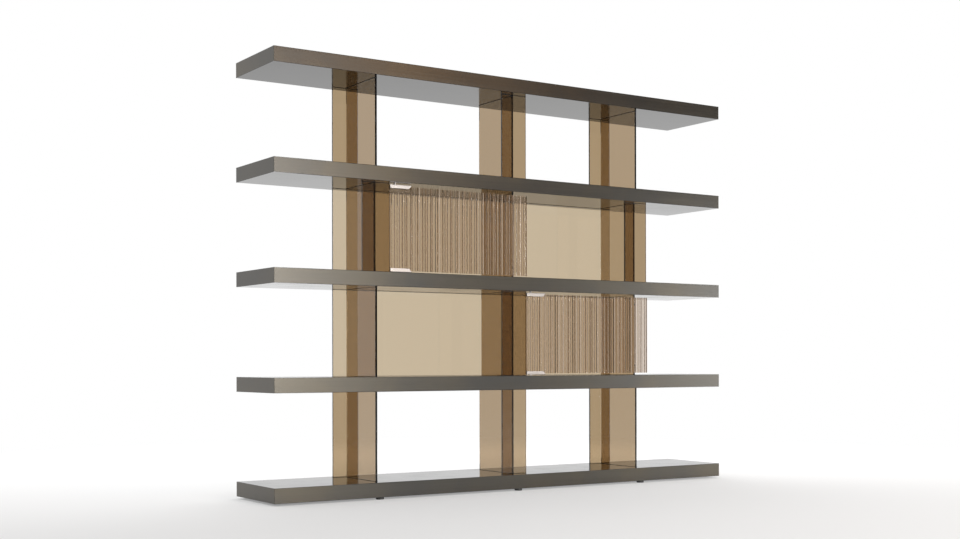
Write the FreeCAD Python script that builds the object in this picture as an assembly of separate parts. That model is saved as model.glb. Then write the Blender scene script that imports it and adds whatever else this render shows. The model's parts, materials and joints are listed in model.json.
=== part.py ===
import FreeCAD, Part
import math
import os

# Bookcase of five metal-clad shelves, four tiers of glass uprights between them and two pivoting doors of
# fluted glass. Sizes are in millimetres. X runs along the shelves, the front faces -Y, and Z points up from
# the floor. The origin is on the floor under the middle of the bookcase.

Vector = FreeCAD.Vector

# Shelves: a timber core between two metal skins, edged with mitred metal bands
shelf_length = 2490.0
shelf_depth = 400.0
shelf_thickness = 65.0
clear_height = 395.0
skin_thickness = 1.5
skin_chamfer = 0.6
band_thickness = 4.0
corner_chamfer = 1.2
rail_width = 75.0
column_block_width = 220.0

# Glass uprights: fins run front to back, wings stand across their ends
column_spacing = 735.0
glass_thickness = 10.0
glass_arris = 0.8
glass_inset = 53.0
wing_width = 135.0
pane_gap = 8.0

# Seats of the panes in the shelves
seat_depth = 12.0
gasket_wall = 1.0
gasket_base = 1.5
gasket_lip = 0.8

# Doors
door_side_gap = 2.5
door_end_gap = 10.0
door_reach = 73.0
flute_depth = 3.4
even_side = 2.8
gentle_side = 5.2
steep_side = 2.0
flute_land = 6.6
land_swing = 0.6
land_beat = 2.4
flute_margin = 4.2
notch_length = 60.0
notch_depth = 8.0
bumper_radius = 4.0
bumper_thickness = 3.0
bumper_inset = 45.0

# Pivot fittings of the doors
patch_length = 110.0
patch_height = 15.5
patch_taper = 15.0
patch_gap = 5.0
patch_chamfer = 0.5
cheek_thickness = 3.0
pivot_inset = 27.0
pin_radius = 5.0
pin_seat_depth = 25.0
pin_play = 0.5
journal_radius = 3.5
journal_length = 9.0
running_gap = 0.1
bush_radius = 5.5
bush_length = 11.0
fit_gap = 0.1
screw_radius = 2.5
screw_inset = 10.0
screw_pitch = 18.0
socket_radius = 1.4
socket_depth = 1.6

# Levelling feet
foot_radius = 18.0
foot_height = 10.0
foot_chamfer = 1.0
foot_inset = 22.0
stud_radius = 5.0
stud_length = 35.0
stud_headroom = 2.0
thread_gap = 0.2
insert_radius = 8.0
insert_length = 28.0

# What stands at the front and at the back of each fin, tier by tier from the floor up
tier_layout = [
    {"left": ("open", "wing"), "middle": ("wing", "open"), "right": ("open", "wing")},
    {"left": ("open", "pane"), "middle": ("wing", "pane"), "right": ("door", "pane")},
    {"left": ("wing", "pane"), "middle": ("door", "pane"), "right": ("wing", "pane")},
    {"left": ("open", "wing"), "middle": ("wing", "open"), "right": ("open", "wing")},
]

# Tier of each door, the column that it pivots beside and the column that it closes on
door_layout = {"left_door": (3, "left", "middle"), "right_door": (2, "middle", "right")}

# Places that follow from the sizes
column_x = {"left": -column_spacing, "middle": 0.0, "right": column_spacing}
front_face = -shelf_depth / 2 + glass_inset
back_face = shelf_depth / 2 - glass_inset
tier_count = len(tier_layout)
shelf_count = tier_count + 1
foot_y = shelf_depth / 2 - foot_inset


def shelf_bottom(shelf):
    return foot_height + (shelf - 1) * (shelf_thickness + clear_height)


def shelf_top(shelf):
    return shelf_bottom(shelf) + shelf_thickness


def box(x0, x1, y0, y1, z0, z1):
    return Part.makeBox(x1 - x0, y1 - y0, z1 - z0, Vector(x0, y0, z0))


def prism(points, along):
    outline = Part.makePolygon(points + points[:1])
    return Part.Face(outline).extrude(along)


def upright_cylinder(radius, x, y, z0, z1):
    return Part.makeCylinder(radius, z1 - z0, Vector(x, y, z0))


def cut_away(solid, tools):
    return solid.cut(tools).Solids[0] if tools else solid


def export(node, solids):
    shape = solids[0] if len(solids) == 1 else Part.makeCompound(solids)
    shape.exportStep("parts/" + node + ".step")


# Panes: name, tier and footprint of each sheet of glass that stands in the shelves
def fin_footprint(column, front, back):
    ends_at_pane = glass_thickness + pane_gap
    front_setback = {"open": 0.0, "wing": ends_at_pane, "door": glass_thickness + bumper_thickness}[front]
    back_setback = {"open": 0.0, "wing": ends_at_pane, "pane": ends_at_pane}[back]
    middle = column_x[column]
    half = glass_thickness / 2
    return (middle - half, middle + half, front_face + front_setback, back_face - back_setback)


def wing_footprint(column, side):
    middle = column_x[column]
    y0 = front_face if side == "front" else back_face - glass_thickness
    return (middle - wing_width / 2, middle + wing_width / 2, y0, y0 + glass_thickness)


def back_pane_footprint():
    reach = column_spacing + wing_width / 2
    return (-reach, reach, back_face - glass_thickness, back_face)


def list_panes():
    panes = []
    for tier, columns in enumerate(tier_layout, start=1):
        for column, (front, back) in columns.items():
            place = f"tier_{tier}_{column}"
            panes.append((place + "_fin", tier, fin_footprint(column, front, back)))
            if front == "wing":
                panes.append((place + "_front_wing", tier, wing_footprint(column, "front")))
            if back == "wing":
                panes.append((place + "_back_wing", tier, wing_footprint(column, "back")))
        if any(back == "pane" for front, back in columns.values()):
            panes.append((f"tier_{tier}_back_pane", tier, back_pane_footprint()))
    return panes


def grown(footprint, margin):
    x0, x1, y0, y1 = footprint
    return (x0 - margin, x1 + margin, y0 - margin, y1 + margin)


def arrised_plan(footprint, z):
    x0, x1, y0, y1 = footprint
    a = glass_arris
    corners = [(x0 + a, y0), (x1 - a, y0), (x1, y0 + a), (x1, y1 - a),
               (x1 - a, y1), (x0 + a, y1), (x0, y1 - a), (x0, y0 + a)]
    return [Vector(x, y, z) for x, y in corners]


def make_pane(tier, footprint):
    z0 = shelf_top(tier) - seat_depth
    z1 = shelf_bottom(tier + 1) + seat_depth
    return prism(arrised_plan(footprint, z0), Vector(0, 0, z1 - z0))


def lower_seat(tier, footprint):
    z = shelf_top(tier)
    return box(*grown(footprint, gasket_wall), z - seat_depth - gasket_base, z + gasket_lip)


def upper_seat(tier, footprint):
    z = shelf_bottom(tier + 1)
    return box(*grown(footprint, gasket_wall), z - gasket_lip, z + seat_depth + gasket_base)


# Doors: each pivots beside one column and closes on the fin of the next
def door_edges(door):
    tier, pivot_column, closing_column = door_layout[door]
    x0 = column_x[pivot_column] + wing_width / 2 + door_side_gap
    x1 = column_x[closing_column] + door_reach
    return (x0, x1, shelf_top(tier) + door_end_gap, shelf_bottom(tier + 1) - door_end_gap)


def pivot_place(door):
    x0 = door_edges(door)[0]
    return (x0 + pivot_inset, front_face + glass_thickness / 2)


def door_ends(door):
    # The shelf face at each pivot corner and the way from it towards the door
    tier = door_layout[door][0]
    return {"upper": (shelf_bottom(tier + 1), -1), "lower": (shelf_top(tier), 1)}


def between(face, way, near, far):
    # Heights of a stretch that lies from near to far off a shelf face
    z0, z1 = sorted((face + way * near, face + way * far))
    return (z0, z1)


def notches(door):
    x0 = door_edges(door)[0]
    cuts = []
    for face, way in door_ends(door).values():
        z0, z1 = between(face, way, 0.0, door_end_gap + notch_depth)
        cuts.append(box(x0, x0 + notch_length, front_face, front_face + glass_thickness, z0, z1))
    return cuts


def place_flutes(x0, x1):
    # Middle, left side and right side of each flute, even and lopsided in turn, with uneven lands between them
    kinds = ((even_side, even_side), (gentle_side, steep_side))
    mean_cut = sum(before + after for before, after in kinds) / len(kinds)
    fluted_length = x1 - x0 - 2 * flute_margin
    count = round(fluted_length / (mean_cut + flute_land))
    sides = [kinds[i % len(kinds)] for i in range(count)]
    lands = [1 + land_swing * math.sin(land_beat * i) for i in range(count - 1)]
    mean_land = (fluted_length - sum(before + after for before, after in sides)) / sum(lands)
    x = x0 + flute_margin
    flutes = []
    for (before, after), land in zip(sides, lands + [0.0]):
        flutes.append((x + before, before, after))
        x += before + after + land * mean_land
    return flutes


def fluted_plan(x0, x1, z):
    # V-cut flutes with flat lands between them on the front face, and a flat back
    front = front_face
    back = front_face + glass_thickness
    a = glass_arris
    corners = [(x0 + a, front)]
    for x, before, after in place_flutes(x0, x1):
        corners += [(x - before, front), (x, front + flute_depth), (x + after, front)]
    corners += [(x1 - a, front), (x1, front + a), (x1, back - a), (x1 - a, back),
                (x0 + a, back), (x0, back - a), (x0, front + a)]
    return [Vector(x, y, z) for x, y in corners]


def make_door_glass(door):
    x0, x1, z0, z1 = door_edges(door)
    sheet = prism(fluted_plan(x0, x1, z0), Vector(0, 0, z1 - z0))
    return cut_away(sheet, notches(door))


def screw_places(door, face, way):
    x0 = door_edges(door)[0] + notch_length + screw_inset
    z = face + way * (door_end_gap + patch_gap + patch_height) / 2
    return [(x0, z), (x0 + screw_pitch, z)]


def crosswise_cylinder(radius, x, y0, y1, z):
    return Part.makeCylinder(radius, y1 - y0, Vector(x, y0, z), Vector(0, 1, 0))


def make_patch(door, end):
    # Saddle over a pivot corner of the glass, tapered at its far end
    face, way = door_ends(door)[end]
    x0, x1, z0, z1 = door_edges(door)
    y0 = front_face - cheek_thickness
    y1 = front_face + glass_thickness + cheek_thickness
    near = face + way * patch_gap
    far = near + way * patch_height
    outline = [Vector(x0, y0, near), Vector(x0 + patch_length, y0, near),
               Vector(x0 + patch_length - patch_taper, y0, far), Vector(x0, y0, far)]
    saddle = prism(outline, Vector(0, y1 - y0, 0))
    front_edges = [edge for edge in saddle.Edges if edge.BoundBox.YMax < front_face]
    saddle = saddle.makeChamfer(patch_chamfer, front_edges)
    glass = box(x0, x1, front_face, front_face + glass_thickness, z0, z1).cut(notches(door))
    pivot_x, pivot_y = pivot_place(door)
    bore = upright_cylinder(bush_radius + fit_gap, pivot_x, pivot_y,
                            *between(face, way, patch_gap, patch_gap + bush_length))
    screw_holes = [crosswise_cylinder(screw_radius + fit_gap, x, y1 - cheek_thickness, y1, z)
                   for x, z in screw_places(door, face, way)]
    return cut_away(saddle, [glass, bore] + screw_holes)


def make_set_screws(door):
    screws = []
    y0 = front_face + glass_thickness
    y1 = y0 + cheek_thickness
    for face, way in door_ends(door).values():
        for x, z in screw_places(door, face, way):
            hexagon = [Vector(x + socket_radius * math.cos(math.radians(60 * side)), y1 - socket_depth,
                              z + socket_radius * math.sin(math.radians(60 * side))) for side in range(6)]
            socket = prism(hexagon, Vector(0, socket_depth, 0))
            screws.append(cut_away(crosswise_cylinder(screw_radius, x, y0, y1, z), [socket]))
    return screws


def make_bushes(door):
    x, y = pivot_place(door)
    bushes = []
    for face, way in door_ends(door).values():
        span = between(face, way, patch_gap, patch_gap + bush_length)
        bore = upright_cylinder(journal_radius + running_gap, x, y, *span)
        bushes.append(cut_away(upright_cylinder(bush_radius, x, y, *span), [bore]))
    return bushes


def make_pins(door):
    # The lower pin's shoulder carries the door, and the upper one clears it
    x, y = pivot_place(door)
    pins = []
    for end, (face, way) in door_ends(door).items():
        shoulder = patch_gap if end == "lower" else patch_gap - pin_play
        shank = upright_cylinder(pin_radius, x, y, *between(face, way, -pin_seat_depth, shoulder))
        journal = upright_cylinder(journal_radius, x, y,
                                   *between(face, way, shoulder, shoulder + journal_length))
        pins.append(shank.fuse(journal).Solids[0])
    return pins


def make_bumpers(door):
    tier, pivot_column, closing_column = door_layout[door]
    y0 = front_face + glass_thickness
    heights = (shelf_top(tier) + bumper_inset, shelf_bottom(tier + 1) - bumper_inset)
    return [crosswise_cylinder(bumper_radius, column_x[closing_column], y0, y0 + bumper_thickness, z)
            for z in heights]


# Feet: a pad on a stud that turns in an insert of the bottom shelf
def foot_places():
    places = {}
    for row, y in (("front", -foot_y), ("back", foot_y)):
        for column, x in column_x.items():
            places[f"{row}_{column}_foot"] = (x, y)
    return places


def make_foot(x, y):
    pad = upright_cylinder(foot_radius, x, y, 0.0, foot_height)
    rims = [edge for edge in pad.Edges if edge.Length > foot_height]
    pad = pad.makeChamfer(foot_chamfer, rims)
    stud = upright_cylinder(stud_radius, x, y, foot_height, foot_height + stud_length)
    return pad.fuse(stud).Solids[0]


def make_insert(x, y):
    z0 = shelf_bottom(1) + skin_thickness
    sleeve = upright_cylinder(insert_radius, x, y, z0, z0 + insert_length)
    return cut_away(sleeve, [upright_cylinder(stud_radius + thread_gap, x, y, z0, z0 + insert_length)])


def stud_bore_cuts():
    # A bore for each stud, through the skin and into the core
    z0 = shelf_bottom(1)
    z1 = z0 + stud_length + stud_headroom
    return [upright_cylinder(stud_radius + thread_gap, x, y, z0, z1) for x, y in foot_places().values()]


def insert_seat_cuts():
    # A wider seat for each insert, in the core alone
    z0 = shelf_bottom(1) + skin_thickness
    return [upright_cylinder(insert_radius + fit_gap, x, y, z0, z0 + insert_length)
            for x, y in foot_places().values()]


# Shelves: every pane and pivot pin that meets a shelf has its seat cut in skin and core
def seat_cuts(shelf, panes):
    cuts = [lower_seat(tier, plan) for name, tier, plan in panes if tier == shelf]
    cuts += [upper_seat(tier, plan) for name, tier, plan in panes if tier == shelf - 1]
    for door, (tier, pivot_column, closing_column) in door_layout.items():
        x, y = pivot_place(door)
        for end, (face, way) in door_ends(door).items():
            if shelf == (tier + 1 if end == "upper" else tier):
                cuts.append(upright_cylinder(pin_radius + fit_gap, x, y,
                                             *between(face, way, -pin_seat_depth, 0.0)))
    if shelf == 1:
        cuts += stud_bore_cuts()
    return cuts


def core_pockets(z0, z1):
    # The timber frame is open between its rails and the blocks under the columns
    half_length = shelf_length / 2 - band_thickness - rail_width
    half_depth = shelf_depth / 2 - band_thickness - rail_width
    half_block = column_block_width / 2
    walls = [-half_length]
    for x in column_x.values():
        walls += [x - half_block, x + half_block]
    walls.append(half_length)
    return [box(left, right, -half_depth, half_depth, z0, z1)
            for left, right in zip(walls[::2], walls[1::2]) if left < right]


def make_core(shelf, seats):
    half_length = shelf_length / 2 - band_thickness
    half_depth = shelf_depth / 2 - band_thickness
    z0 = shelf_bottom(shelf) + skin_thickness
    z1 = shelf_top(shelf) - skin_thickness
    board = box(-half_length, half_length, -half_depth, half_depth, z0, z1)
    cuts = seats + core_pockets(z0, z1)
    if shelf == 1:
        cuts = cuts + insert_seat_cuts()
    return cut_away(board, cuts)


def make_skin(z_inner, z_outer, seats):
    half_length = shelf_length / 2
    half_depth = shelf_depth / 2
    z0, z1 = sorted((z_inner, z_outer))
    sheet = box(-half_length, half_length, -half_depth, half_depth, z0, z1)
    rim = [edge for edge in sheet.Edges if math.isclose(edge.CenterOfMass.z, z_outer)]
    sheet = sheet.makeChamfer(skin_chamfer, rim)
    return cut_away(sheet, seats)


def make_skins(shelf, seats):
    top = shelf_top(shelf)
    bottom = shelf_bottom(shelf)
    return [make_skin(top - skin_thickness, top, seats), make_skin(bottom + skin_thickness, bottom, seats)]


def make_edge_bands(shelf):
    # A long band mitred at both ends for front and back, and a short one for each end
    z0 = shelf_bottom(shelf) + skin_thickness
    height = Vector(0, 0, shelf_thickness - 2 * skin_thickness)
    half_length = shelf_length / 2
    half_depth = shelf_depth / 2
    bands = []
    for half_run, half_out, turn in ((half_length, half_depth, 0), (half_depth, half_length, 90)):
        plan = [(-half_run + corner_chamfer, -half_out), (half_run - corner_chamfer, -half_out),
                (half_run - corner_chamfer / 2, -half_out + corner_chamfer / 2),
                (half_run - band_thickness, -half_out + band_thickness),
                (-half_run + band_thickness, -half_out + band_thickness),
                (-half_run + corner_chamfer / 2, -half_out + corner_chamfer / 2)]
        for angle in (turn, turn + 180):
            band = prism([Vector(x, y, z0) for x, y in plan], height)
            band.rotate(Vector(0, 0, 0), Vector(0, 0, 1), angle)
            bands.append(band)
    return bands


# Build every piece and write one file for each node
os.makedirs("parts", exist_ok=True)
panes = list_panes()

for shelf in range(1, shelf_count + 1):
    seats = seat_cuts(shelf, panes)
    export(f"shelf_{shelf}_core", [make_core(shelf, seats)])
    export(f"shelf_{shelf}_skins", make_skins(shelf, seats))
    export(f"shelf_{shelf}_edge_bands", make_edge_bands(shelf))

gaskets = []
for name, tier, footprint in panes:
    pane = make_pane(tier, footprint)
    export(name, [pane])
    gaskets.append(cut_away(lower_seat(tier, footprint), [pane]))
    gaskets.append(cut_away(upper_seat(tier, footprint), [pane]))
export("pane_gaskets", gaskets)

pins = []
bumpers = []
for door in door_layout:
    export(door + "_glass", [make_door_glass(door)])
    for end in ("upper", "lower"):
        export(f"{door}_{end}_patch", [make_patch(door, end)])
    export(door + "_set_screws", make_set_screws(door))
    export(door + "_pivot_bushes", make_bushes(door))
    pins += make_pins(door)
    bumpers += make_bumpers(door)
export("pivot_pins", pins)
export("door_bumpers", bumpers)

for foot, (x, y) in foot_places().items():
    export(foot, [make_foot(x, y)])
export("foot_inserts", [make_insert(x, y) for x, y in foot_places().values()])
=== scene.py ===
import json
import math

import bmesh
import bpy
from mathutils import Euler, Matrix, Vector

# Dresses a bookcase of bronze metal shelves, tinted glass uprights and fluted glass doors.
# Lengths are in metres. X runs along the shelves, the front faces -Y, and Z points up from the floor.

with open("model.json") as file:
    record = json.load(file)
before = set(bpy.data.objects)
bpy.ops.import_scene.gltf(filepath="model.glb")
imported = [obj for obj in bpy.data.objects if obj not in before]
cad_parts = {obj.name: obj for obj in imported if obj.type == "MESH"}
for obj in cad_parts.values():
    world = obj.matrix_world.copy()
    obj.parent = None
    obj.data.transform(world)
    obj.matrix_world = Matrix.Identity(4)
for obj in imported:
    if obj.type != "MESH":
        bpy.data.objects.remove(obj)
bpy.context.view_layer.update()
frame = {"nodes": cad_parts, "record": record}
nodes = frame["nodes"]
scene = bpy.context.scene

# Camera: the picture is 960 pixels wide, and its horizon lies below its middle
PICTURE_WIDTH = 960
HORIZON_BELOW_MIDDLE = 93.0
FOCAL_LENGTH_PIXELS = 1339.0
SENSOR_WIDTH_MM = 36.0
CAMERA_PLACE = Vector((-3.5576, -5.3219, 0.597))
CAMERA_YAW = math.radians(33.037)
CAMERA_ROLL = math.radians(-0.0913)


def make_camera():
    data = bpy.data.cameras.new("camera")
    data.sensor_width = SENSOR_WIDTH_MM
    data.lens = SENSOR_WIDTH_MM * FOCAL_LENGTH_PIXELS / PICTURE_WIDTH
    data.shift_y = HORIZON_BELOW_MIDDLE / PICTURE_WIDTH
    camera = bpy.data.objects.new("camera", data)
    turn = Euler((math.pi / 2, 0.0, -CAMERA_YAW)).to_matrix().to_4x4()
    camera.matrix_world = Matrix.Translation(CAMERA_PLACE) @ turn @ Matrix.Rotation(CAMERA_ROLL, 4, "Z")
    scene.collection.objects.link(camera)
    scene.camera = camera


# Node helpers
WHITE = (1.0, 1.0, 1.0, 1.0)
BLACK = (0.0, 0.0, 0.0, 1.0)
ZERO_TO_ONE = (0.0, 1.0)

# A colour mix shares the names of its sockets with other kinds of mix, so they are found by number
FIRST_COLOUR = 6
SECOND_COLOUR = 7
MIXED_COLOUR = 2


def add_node(tree, kind, **settings):
    node = tree.nodes.new(kind)
    for name, value in settings.items():
        setattr(node, name, value)
    return node


def set_inputs(node, values):
    for name, value in values.items():
        node.inputs[name].default_value = value


def link(tree, source, target):
    tree.links.new(source, target)


def add_math(tree, operation, first, second):
    node = add_node(tree, "ShaderNodeMath", operation=operation)
    link(tree, first, node.inputs[0])
    link(tree, second, node.inputs[1])
    return node.outputs["Value"]


def add_range(tree, value, given_range, wanted_range, **settings):
    # Spreads a value that lies in one range over another
    node = add_node(tree, "ShaderNodeMapRange", **settings)
    given_low, given_high = given_range
    wanted_low, wanted_high = wanted_range
    set_inputs(node, {"From Min": given_low, "From Max": given_high,
                      "To Min": wanted_low, "To Max": wanted_high})
    link(tree, value, node.inputs["Value"])
    return node


def add_object_place(tree):
    return add_node(tree, "ShaderNodeTexCoord").outputs["Object"]


def add_noise(tree, place, settings):
    noise = add_node(tree, "ShaderNodeTexNoise")
    set_inputs(noise, settings)
    link(tree, place, noise.inputs["Vector"])
    return noise


def start_material(name, settings):
    material = bpy.data.materials.new(name)
    material.use_nodes = True
    tree = material.node_tree
    shader = tree.nodes["Principled BSDF"]
    set_inputs(shader, settings)
    return material, tree, shader


# Studio: a white surround, a dim side that the front edges mirror, softboxes and a pale floor
SURROUND_LEVEL = 1.0
DIM_LEVEL = 0.14
DIM_SIDE = math.radians(33.0)
DIM_HALF_WIDTH = math.radians(48.0)
SURROUND_STARTS = math.radians(70.0)
SOFTBOXES = {
    # place, aimed at, width, height, radiance, colour
    "front_softbox": ((0.3, -6.5, 1.4), (-0.4, -0.2, 1.2), 2.8, 3.0, 7.1, (1.0, 0.99, 0.97)),
    "side_softbox": ((8.0, -6.2, 0.9), (0.6, -0.2, 0.8), 2.4, 2.2, 7.2, (1.0, 1.0, 1.0)),
    "warm_softbox": ((2.9, -6.5, 4.3), (0.0, -0.2, 1.4), 3.0, 1.2, 2.3, (1.0, 0.52, 0.20)),
    "top_softbox": ((0.9, 2.2, 4.6), (0.0, 0.0, 0.6), 3.6, 2.4, 1.9, (1.0, 1.0, 1.0)),
}
RADIANCE_TO_WATTS = 4.0
FLOOR_SIZE = 80.0
FLOOR_COLOUR = (0.60, 0.60, 0.60, 1.0)
# The floor's painted glow rises along this slope from its near value to its far value. It is a painted
# shade that darkens the floor towards the front and left of the bookcase
FLOOR_SLOPE = (0.5, 1.0, 0.0)
FLOOR_NEAR_AND_FAR = (-3.2, 2.5)
FLOOR_PAINTED_GLOW_NEAR_AND_FAR = (0.08, 0.53)
WHITE_FLOOR_FROM_AND_TO = (2.3, 4.3)


def add_seen(tree):
    # The light path, and a value that is 1 for what the camera sees directly or through glass
    path = add_node(tree, "ShaderNodeLightPath")
    seen = add_math(tree, "MAXIMUM", path.outputs["Is Camera Ray"], path.outputs["Is Transmission Ray"])
    return path, seen


def blend_to_surround(tree, level, share):
    # Takes a level to that of the white surround by a share from 0 to 1
    blend = add_node(tree, "ShaderNodeMix", data_type="FLOAT")
    blend.inputs["B"].default_value = SURROUND_LEVEL
    link(tree, level, blend.inputs["A"])
    link(tree, share, blend.inputs["Factor"])
    return blend.outputs["Result"]


def make_world():
    world = bpy.data.worlds.new("studio")
    scene.world = world
    world.use_nodes = True
    tree = world.node_tree
    background = tree.nodes["Background"]
    background.inputs["Color"].default_value = WHITE
    direction = add_node(tree, "ShaderNodeTexCoord")
    towards_dim_side = add_node(tree, "ShaderNodeVectorMath", operation="DOT_PRODUCT")
    towards_dim_side.inputs[1].default_value = (math.sin(DIM_SIDE), -math.cos(DIM_SIDE), 0.0)
    link(tree, direction.outputs["Generated"], towards_dim_side.inputs[0])
    level = add_range(tree, towards_dim_side.outputs["Value"],
                      (math.cos(SURROUND_STARTS), math.cos(DIM_HALF_WIDTH)), (SURROUND_LEVEL, DIM_LEVEL),
                      interpolation_type="SMOOTHSTEP")
    path, seen = add_seen(tree)
    strength = blend_to_surround(tree, level.outputs["Result"], seen)
    link(tree, strength, background.inputs["Strength"])


def make_softboxes():
    for name, (place, aim, width, height, radiance, colour) in SOFTBOXES.items():
        data = bpy.data.lights.new(name, "AREA")
        data.shape = "RECTANGLE"
        data.size = width
        data.size_y = height
        data.energy = radiance * width * height * RADIANCE_TO_WATTS
        data.color = colour
        lamp = bpy.data.objects.new(name, data)
        lamp.location = place
        lamp.rotation_euler = (Vector(aim) - Vector(place)).to_track_quat("-Z", "Y").to_euler()
        lamp.visible_camera = False
        lamp.visible_transmission = False
        scene.collection.objects.link(lamp)


def make_floor_material():
    # The lamps show on the floor near the bookcase only, over a painted glow that is dimmer towards the
    # front and left and paints shade on the floor in front of the bookcase; further out it is as white as
    # the surround
    material, tree, shader = start_material("floor", {
        "Roughness": 1.0, "Specular IOR Level": 0.0, "Emission Color": WHITE})
    place = add_object_place(tree)
    along = add_node(tree, "ShaderNodeVectorMath", operation="DOT_PRODUCT")
    along.inputs[1].default_value = FLOOR_SLOPE
    link(tree, place, along.inputs[0])
    distance = add_node(tree, "ShaderNodeVectorMath", operation="LENGTH")
    link(tree, place, distance.inputs[0])
    # Painted glow that is dimmer towards the front and left: painted shade, seen directly, through glass
    # and in reflections
    painted_glow = add_range(tree, along.outputs["Value"], FLOOR_NEAR_AND_FAR, FLOOR_PAINTED_GLOW_NEAR_AND_FAR)
    away = add_range(tree, distance.outputs["Value"], WHITE_FLOOR_FROM_AND_TO, ZERO_TO_ONE,
                     interpolation_type="SMOOTHSTEP")
    path, seen = add_seen(tree)
    seen_or_mirrored = add_math(tree, "MAXIMUM", seen, path.outputs["Is Glossy Ray"])
    near_strength = add_math(tree, "MULTIPLY", seen_or_mirrored, painted_glow.outputs["Result"])
    white = add_math(tree, "MULTIPLY", seen, away.outputs["Result"])
    strength = blend_to_surround(tree, near_strength, white)
    colour = add_node(tree, "ShaderNodeMix", data_type="RGBA")
    colour.inputs[FIRST_COLOUR].default_value = FLOOR_COLOUR
    colour.inputs[SECOND_COLOUR].default_value = BLACK
    link(tree, white, colour.inputs["Factor"])
    link(tree, colour.outputs[MIXED_COLOUR], shader.inputs["Base Color"])
    link(tree, strength, shader.inputs["Emission Strength"])
    return material


def make_floor():
    bm = bmesh.new()
    bmesh.ops.create_grid(bm, x_segments=1, y_segments=1, size=FLOOR_SIZE / 2)
    mesh = bpy.data.meshes.new("floor")
    bm.to_mesh(mesh)
    bm.free()
    floor = bpy.data.objects.new("floor", mesh)
    scene.collection.objects.link(floor)
    mesh.materials.append(make_floor_material())


# Effects that several finishes share, with the values that most of their noise lies between
NOISE_RANGE = (0.3, 0.7)
MARKS_RANGE = (0.35, 0.7)


def start_effect(name, inputs, outputs):
    group = bpy.data.node_groups.new(name, "ShaderNodeTree")
    for label, default in inputs.items():
        kind = "NodeSocketColor" if isinstance(default, tuple) else "NodeSocketFloat"
        group.interface.new_socket(label, in_out="INPUT", socket_type=kind).default_value = default
    for label, kind in outputs.items():
        group.interface.new_socket(label, in_out="OUTPUT", socket_type=kind)
    return group, add_node(group, "NodeGroupInput"), add_node(group, "NodeGroupOutput")


def place_effect(tree, group, values):
    node = add_node(tree, "ShaderNodeGroup", node_tree=group)
    set_inputs(node, values)
    return node


def make_handling_marks():
    # Soft patches where hands and cloths have dulled the surface
    group, given, result = start_effect("handling_marks", {"Size": 5.0, "Low": 0.1, "High": 0.2},
                                        {"Roughness": "NodeSocketFloat"})
    noise = add_noise(group, add_object_place(group), {"Detail": 5.0, "Roughness": 0.6})
    link(group, given.outputs["Size"], noise.inputs["Scale"])
    spread = add_range(group, noise.outputs["Fac"], MARKS_RANGE, ZERO_TO_ONE)
    link(group, given.outputs["Low"], spread.inputs["To Min"])
    link(group, given.outputs["High"], spread.inputs["To Max"])
    link(group, spread.outputs["Result"], result.inputs["Roughness"])
    return group


def make_patina():
    # Slow drift between two tones of one surface
    group, given, result = start_effect(
        "patina", {"Size": 2.0, "Dark": (0.1, 0.1, 0.1, 1.0), "Light": (0.2, 0.2, 0.2, 1.0)},
        {"Color": "NodeSocketColor"})
    noise = add_noise(group, add_object_place(group), {"Detail": 4.0, "Roughness": 0.55, "Distortion": 0.4})
    link(group, given.outputs["Size"], noise.inputs["Scale"])
    spread = add_range(group, noise.outputs["Fac"], NOISE_RANGE, ZERO_TO_ONE)
    tone = add_node(group, "ShaderNodeMix", data_type="RGBA")
    link(group, spread.outputs["Result"], tone.inputs["Factor"])
    link(group, given.outputs["Dark"], tone.inputs[FIRST_COLOUR])
    link(group, given.outputs["Light"], tone.inputs[SECOND_COLOUR])
    link(group, tone.outputs[MIXED_COLOUR], result.inputs["Color"])
    return group


def make_brushed_lines():
    # Fine level scratches left by a brushing belt, as a value from 0 to 1
    group, given, result = start_effect("brushed_lines", {"Across": 300.0, "Along": 4.0},
                                        {"Lines": "NodeSocketFloat"})
    stretch = add_node(group, "ShaderNodeCombineXYZ")
    link(group, given.outputs["Along"], stretch.inputs["X"])
    link(group, given.outputs["Along"], stretch.inputs["Y"])
    link(group, given.outputs["Across"], stretch.inputs["Z"])
    scaled = add_node(group, "ShaderNodeVectorMath", operation="MULTIPLY")
    link(group, add_object_place(group), scaled.inputs[0])
    link(group, stretch.outputs["Vector"], scaled.inputs[1])
    noise = add_noise(group, scaled.outputs["Vector"], {"Scale": 1.0, "Detail": 4.0, "Roughness": 0.7})
    link(group, noise.outputs["Fac"], result.inputs["Lines"])
    return group


def make_grain():
    # Unevenness of rolled sheet, drawn glass and moulded pieces, as a height from 0 to 1
    group, given, result = start_effect("grain", {"Size": 100.0}, {"Height": "NodeSocketFloat"})
    noise = add_noise(group, add_object_place(group), {"Detail": 3.0, "Roughness": 0.5})
    link(group, given.outputs["Size"], noise.inputs["Scale"])
    link(group, noise.outputs["Fac"], result.inputs["Height"])
    return group


marks = make_handling_marks()
patina = make_patina()
brushed_lines = make_brushed_lines()
grain = make_grain()


def add_bump(tree, shader, height, strength, depth):
    bump = add_node(tree, "ShaderNodeBump")
    set_inputs(bump, {"Strength": strength, "Distance": depth})
    link(tree, height, bump.inputs["Height"])
    link(tree, bump.outputs["Normal"], shader.inputs["Normal"])


def add_marks(tree, shader, size, roughness):
    low, high = roughness
    node = place_effect(tree, marks, {"Size": size, "Low": low, "High": high})
    link(tree, node.outputs["Roughness"], shader.inputs["Roughness"])


def add_patina(tree, size, dark, light):
    node = place_effect(tree, patina, {"Size": size, "Dark": (*dark, 1.0), "Light": (*light, 1.0)})
    return node.outputs["Color"]


def add_grain(tree, shader, size, strength, depth):
    node = place_effect(tree, grain, {"Size": size})
    add_bump(tree, shader, node.outputs["Height"], strength, depth)


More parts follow.
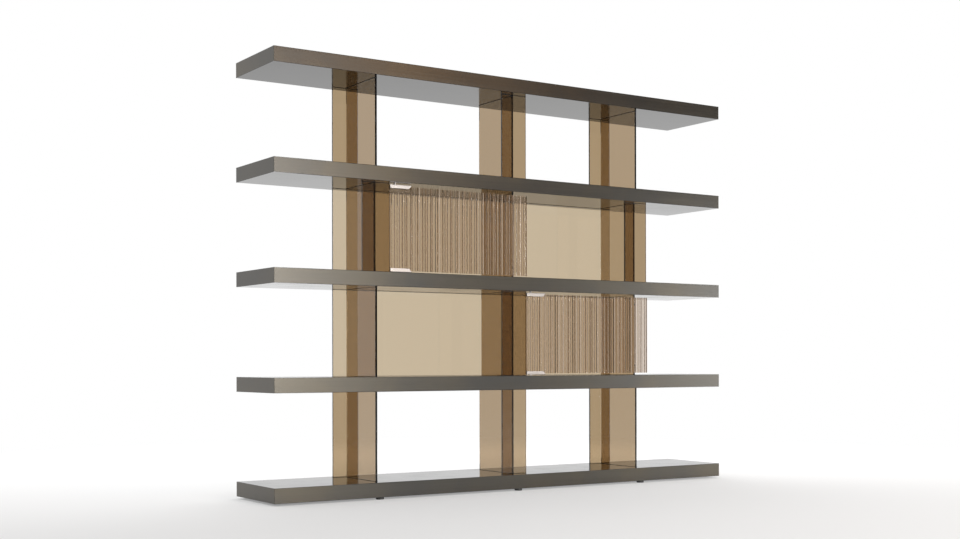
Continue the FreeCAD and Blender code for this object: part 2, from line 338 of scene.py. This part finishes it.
# Kinds of finish
def tinted_glass(name, absorbed_per_metre, waviness):
    # Clear glass whose body takes out light of each colour along the way through it
    material, tree, shader = start_material(name, {
        "Base Color": WHITE, "IOR": 1.52, "Transmission Weight": 1.0})
    add_marks(tree, shader, size=7.0, roughness=(0.0, 0.012))
    add_grain(tree, shader, size=6.0, strength=waviness, depth=0.0004)
    density = max(absorbed_per_metre)
    kept = [1.0 - absorbed / density for absorbed in absorbed_per_metre]
    body = add_node(tree, "ShaderNodeVolumeAbsorption")
    set_inputs(body, {"Density": density, "Color": (*kept, 1.0)})
    link(tree, body.outputs["Volume"], tree.nodes["Material Output"].inputs["Volume"])
    return material


def polished_sheet(name, dark, light):
    material, tree, shader = start_material(name, {
        "Metallic": 1.0, "Specular Tint": (0.84, 0.84, 0.84, 1.0)})
    tone = add_patina(tree, 3.0, dark, light)
    link(tree, tone, shader.inputs["Base Color"])
    add_marks(tree, shader, size=6.0, roughness=(0.08, 0.15))
    add_grain(tree, shader, size=9.0, strength=0.10, depth=0.0005)
    return material


def brushed_metal(name, dark, light, roughness, across, along):
    # The scratches lighten and roughen the tones of the patina
    material, tree, shader = start_material(name, {"Metallic": 1.0})
    tone = add_patina(tree, 2.2, dark, light)
    lines = place_effect(tree, brushed_lines, {"Across": across, "Along": along}).outputs["Lines"]
    streaks = add_range(tree, lines, NOISE_RANGE, (0.94, 1.06))
    streaked = add_node(tree, "ShaderNodeMix", data_type="RGBA", blend_type="MULTIPLY")
    streaked.inputs["Factor"].default_value = 1.0
    link(tree, tone, streaked.inputs[FIRST_COLOUR])
    link(tree, streaks.outputs["Result"], streaked.inputs[SECOND_COLOUR])
    link(tree, streaked.outputs[MIXED_COLOUR], shader.inputs["Base Color"])
    rough = add_range(tree, lines, NOISE_RANGE, roughness)
    link(tree, rough.outputs["Result"], shader.inputs["Roughness"])
    add_bump(tree, shader, lines, strength=0.15, depth=0.0002)
    return material


def moulded(name, dark, light, roughness, grain_size, coat=0.0):
    # Plastic, rubber and paint: an even tone with a fine skin
    material, tree, shader = start_material(name, {"Coat Weight": coat})
    tone = add_patina(tree, 40.0, dark, light)
    link(tree, tone, shader.inputs["Base Color"])
    add_marks(tree, shader, size=30.0, roughness=roughness)
    add_grain(tree, shader, size=grain_size, strength=0.2, depth=0.0002)
    return material


def sawn_timber(name, dark, light):
    # Growth rings along the boards, drawn out by a stretched noise
    material, tree, shader = start_material(name, {})
    stretch = add_node(tree, "ShaderNodeMapping")
    stretch.inputs["Scale"].default_value = (2.0, 40.0, 40.0)
    link(tree, add_object_place(tree), stretch.inputs["Vector"])
    noise = add_noise(tree, stretch.outputs["Vector"], {"Scale": 2.0, "Detail": 6.0, "Distortion": 1.2})
    rings = noise.outputs["Fac"]
    tone = add_node(tree, "ShaderNodeValToRGB")
    for stop, position, colour in zip(tone.color_ramp.elements, (0.35, 0.65), (dark, light)):
        stop.position = position
        stop.color = (*colour, 1.0)
    link(tree, rings, tone.inputs["Fac"])
    link(tree, tone.outputs["Color"], shader.inputs["Base Color"])
    add_marks(tree, shader, size=20.0, roughness=(0.7, 0.85))
    add_bump(tree, shader, rings, strength=0.3, depth=0.0005)
    return material


# Finishes of the bookcase, one for each slot of the record
FINISHES = {
    "polished_bronze": (polished_sheet, dict(dark=(0.066, 0.065, 0.064), light=(0.073, 0.071, 0.069))),
    "brushed_bronze": (brushed_metal, dict(dark=(0.079, 0.077, 0.073), light=(0.106, 0.094, 0.075),
                                           roughness=(0.29, 0.36), across=420.0, along=1.5)),
    "core_timber": (sawn_timber, dict(dark=(0.42, 0.29, 0.17), light=(0.62, 0.48, 0.32))),
    "bronze_glass": (tinted_glass, dict(absorbed_per_metre=(82.0, 111.0, 159.0), waviness=0.12)),
    "pale_bronze_glass": (tinted_glass, dict(absorbed_per_metre=(48.0, 66.0, 98.0), waviness=0.12)),
    "fluted_glass": (tinted_glass, dict(absorbed_per_metre=(31.0, 42.0, 54.0), waviness=0.03)),
    "polished_steel": (brushed_metal, dict(dark=(0.49, 0.45, 0.42), light=(0.55, 0.50, 0.47),
                                           roughness=(0.36, 0.46), across=900.0, along=12.0)),
    "screw_steel": (brushed_metal, dict(dark=(0.38, 0.38, 0.38), light=(0.50, 0.50, 0.50),
                                        roughness=(0.25, 0.38), across=1500.0, along=900.0)),
    "bush_nylon": (moulded, dict(dark=(0.05, 0.05, 0.05), light=(0.07, 0.07, 0.07),
                                 roughness=(0.40, 0.55), grain_size=900.0)),
    "gasket_rubber": (moulded, dict(dark=(0.012, 0.012, 0.012), light=(0.020, 0.020, 0.020),
                                    roughness=(0.60, 0.80), grain_size=1200.0)),
    "bumper_silicone": (moulded, dict(dark=(0.66, 0.66, 0.64), light=(0.74, 0.74, 0.72),
                                      roughness=(0.30, 0.45), grain_size=900.0)),
    "foot_black": (moulded, dict(dark=(0.010, 0.010, 0.010), light=(0.016, 0.016, 0.016),
                                 roughness=(0.32, 0.48), grain_size=700.0, coat=0.2)),
    "insert_brass": (brushed_metal, dict(dark=(0.62, 0.47, 0.20), light=(0.76, 0.60, 0.29),
                                         roughness=(0.25, 0.36), across=1500.0, along=300.0)),
}


def dress_nodes():
    materials = {slot: make(slot, **settings) for slot, (make, settings) in FINISHES.items()}
    for subpart in frame["record"]["subparts"]:
        for slot in nodes[subpart["node"]].material_slots:
            slot.material = materials[subpart["material_slot"]]


scene.view_settings.view_transform = "Standard"
make_camera()
make_world()
make_softboxes()
make_floor()
dress_nodes()
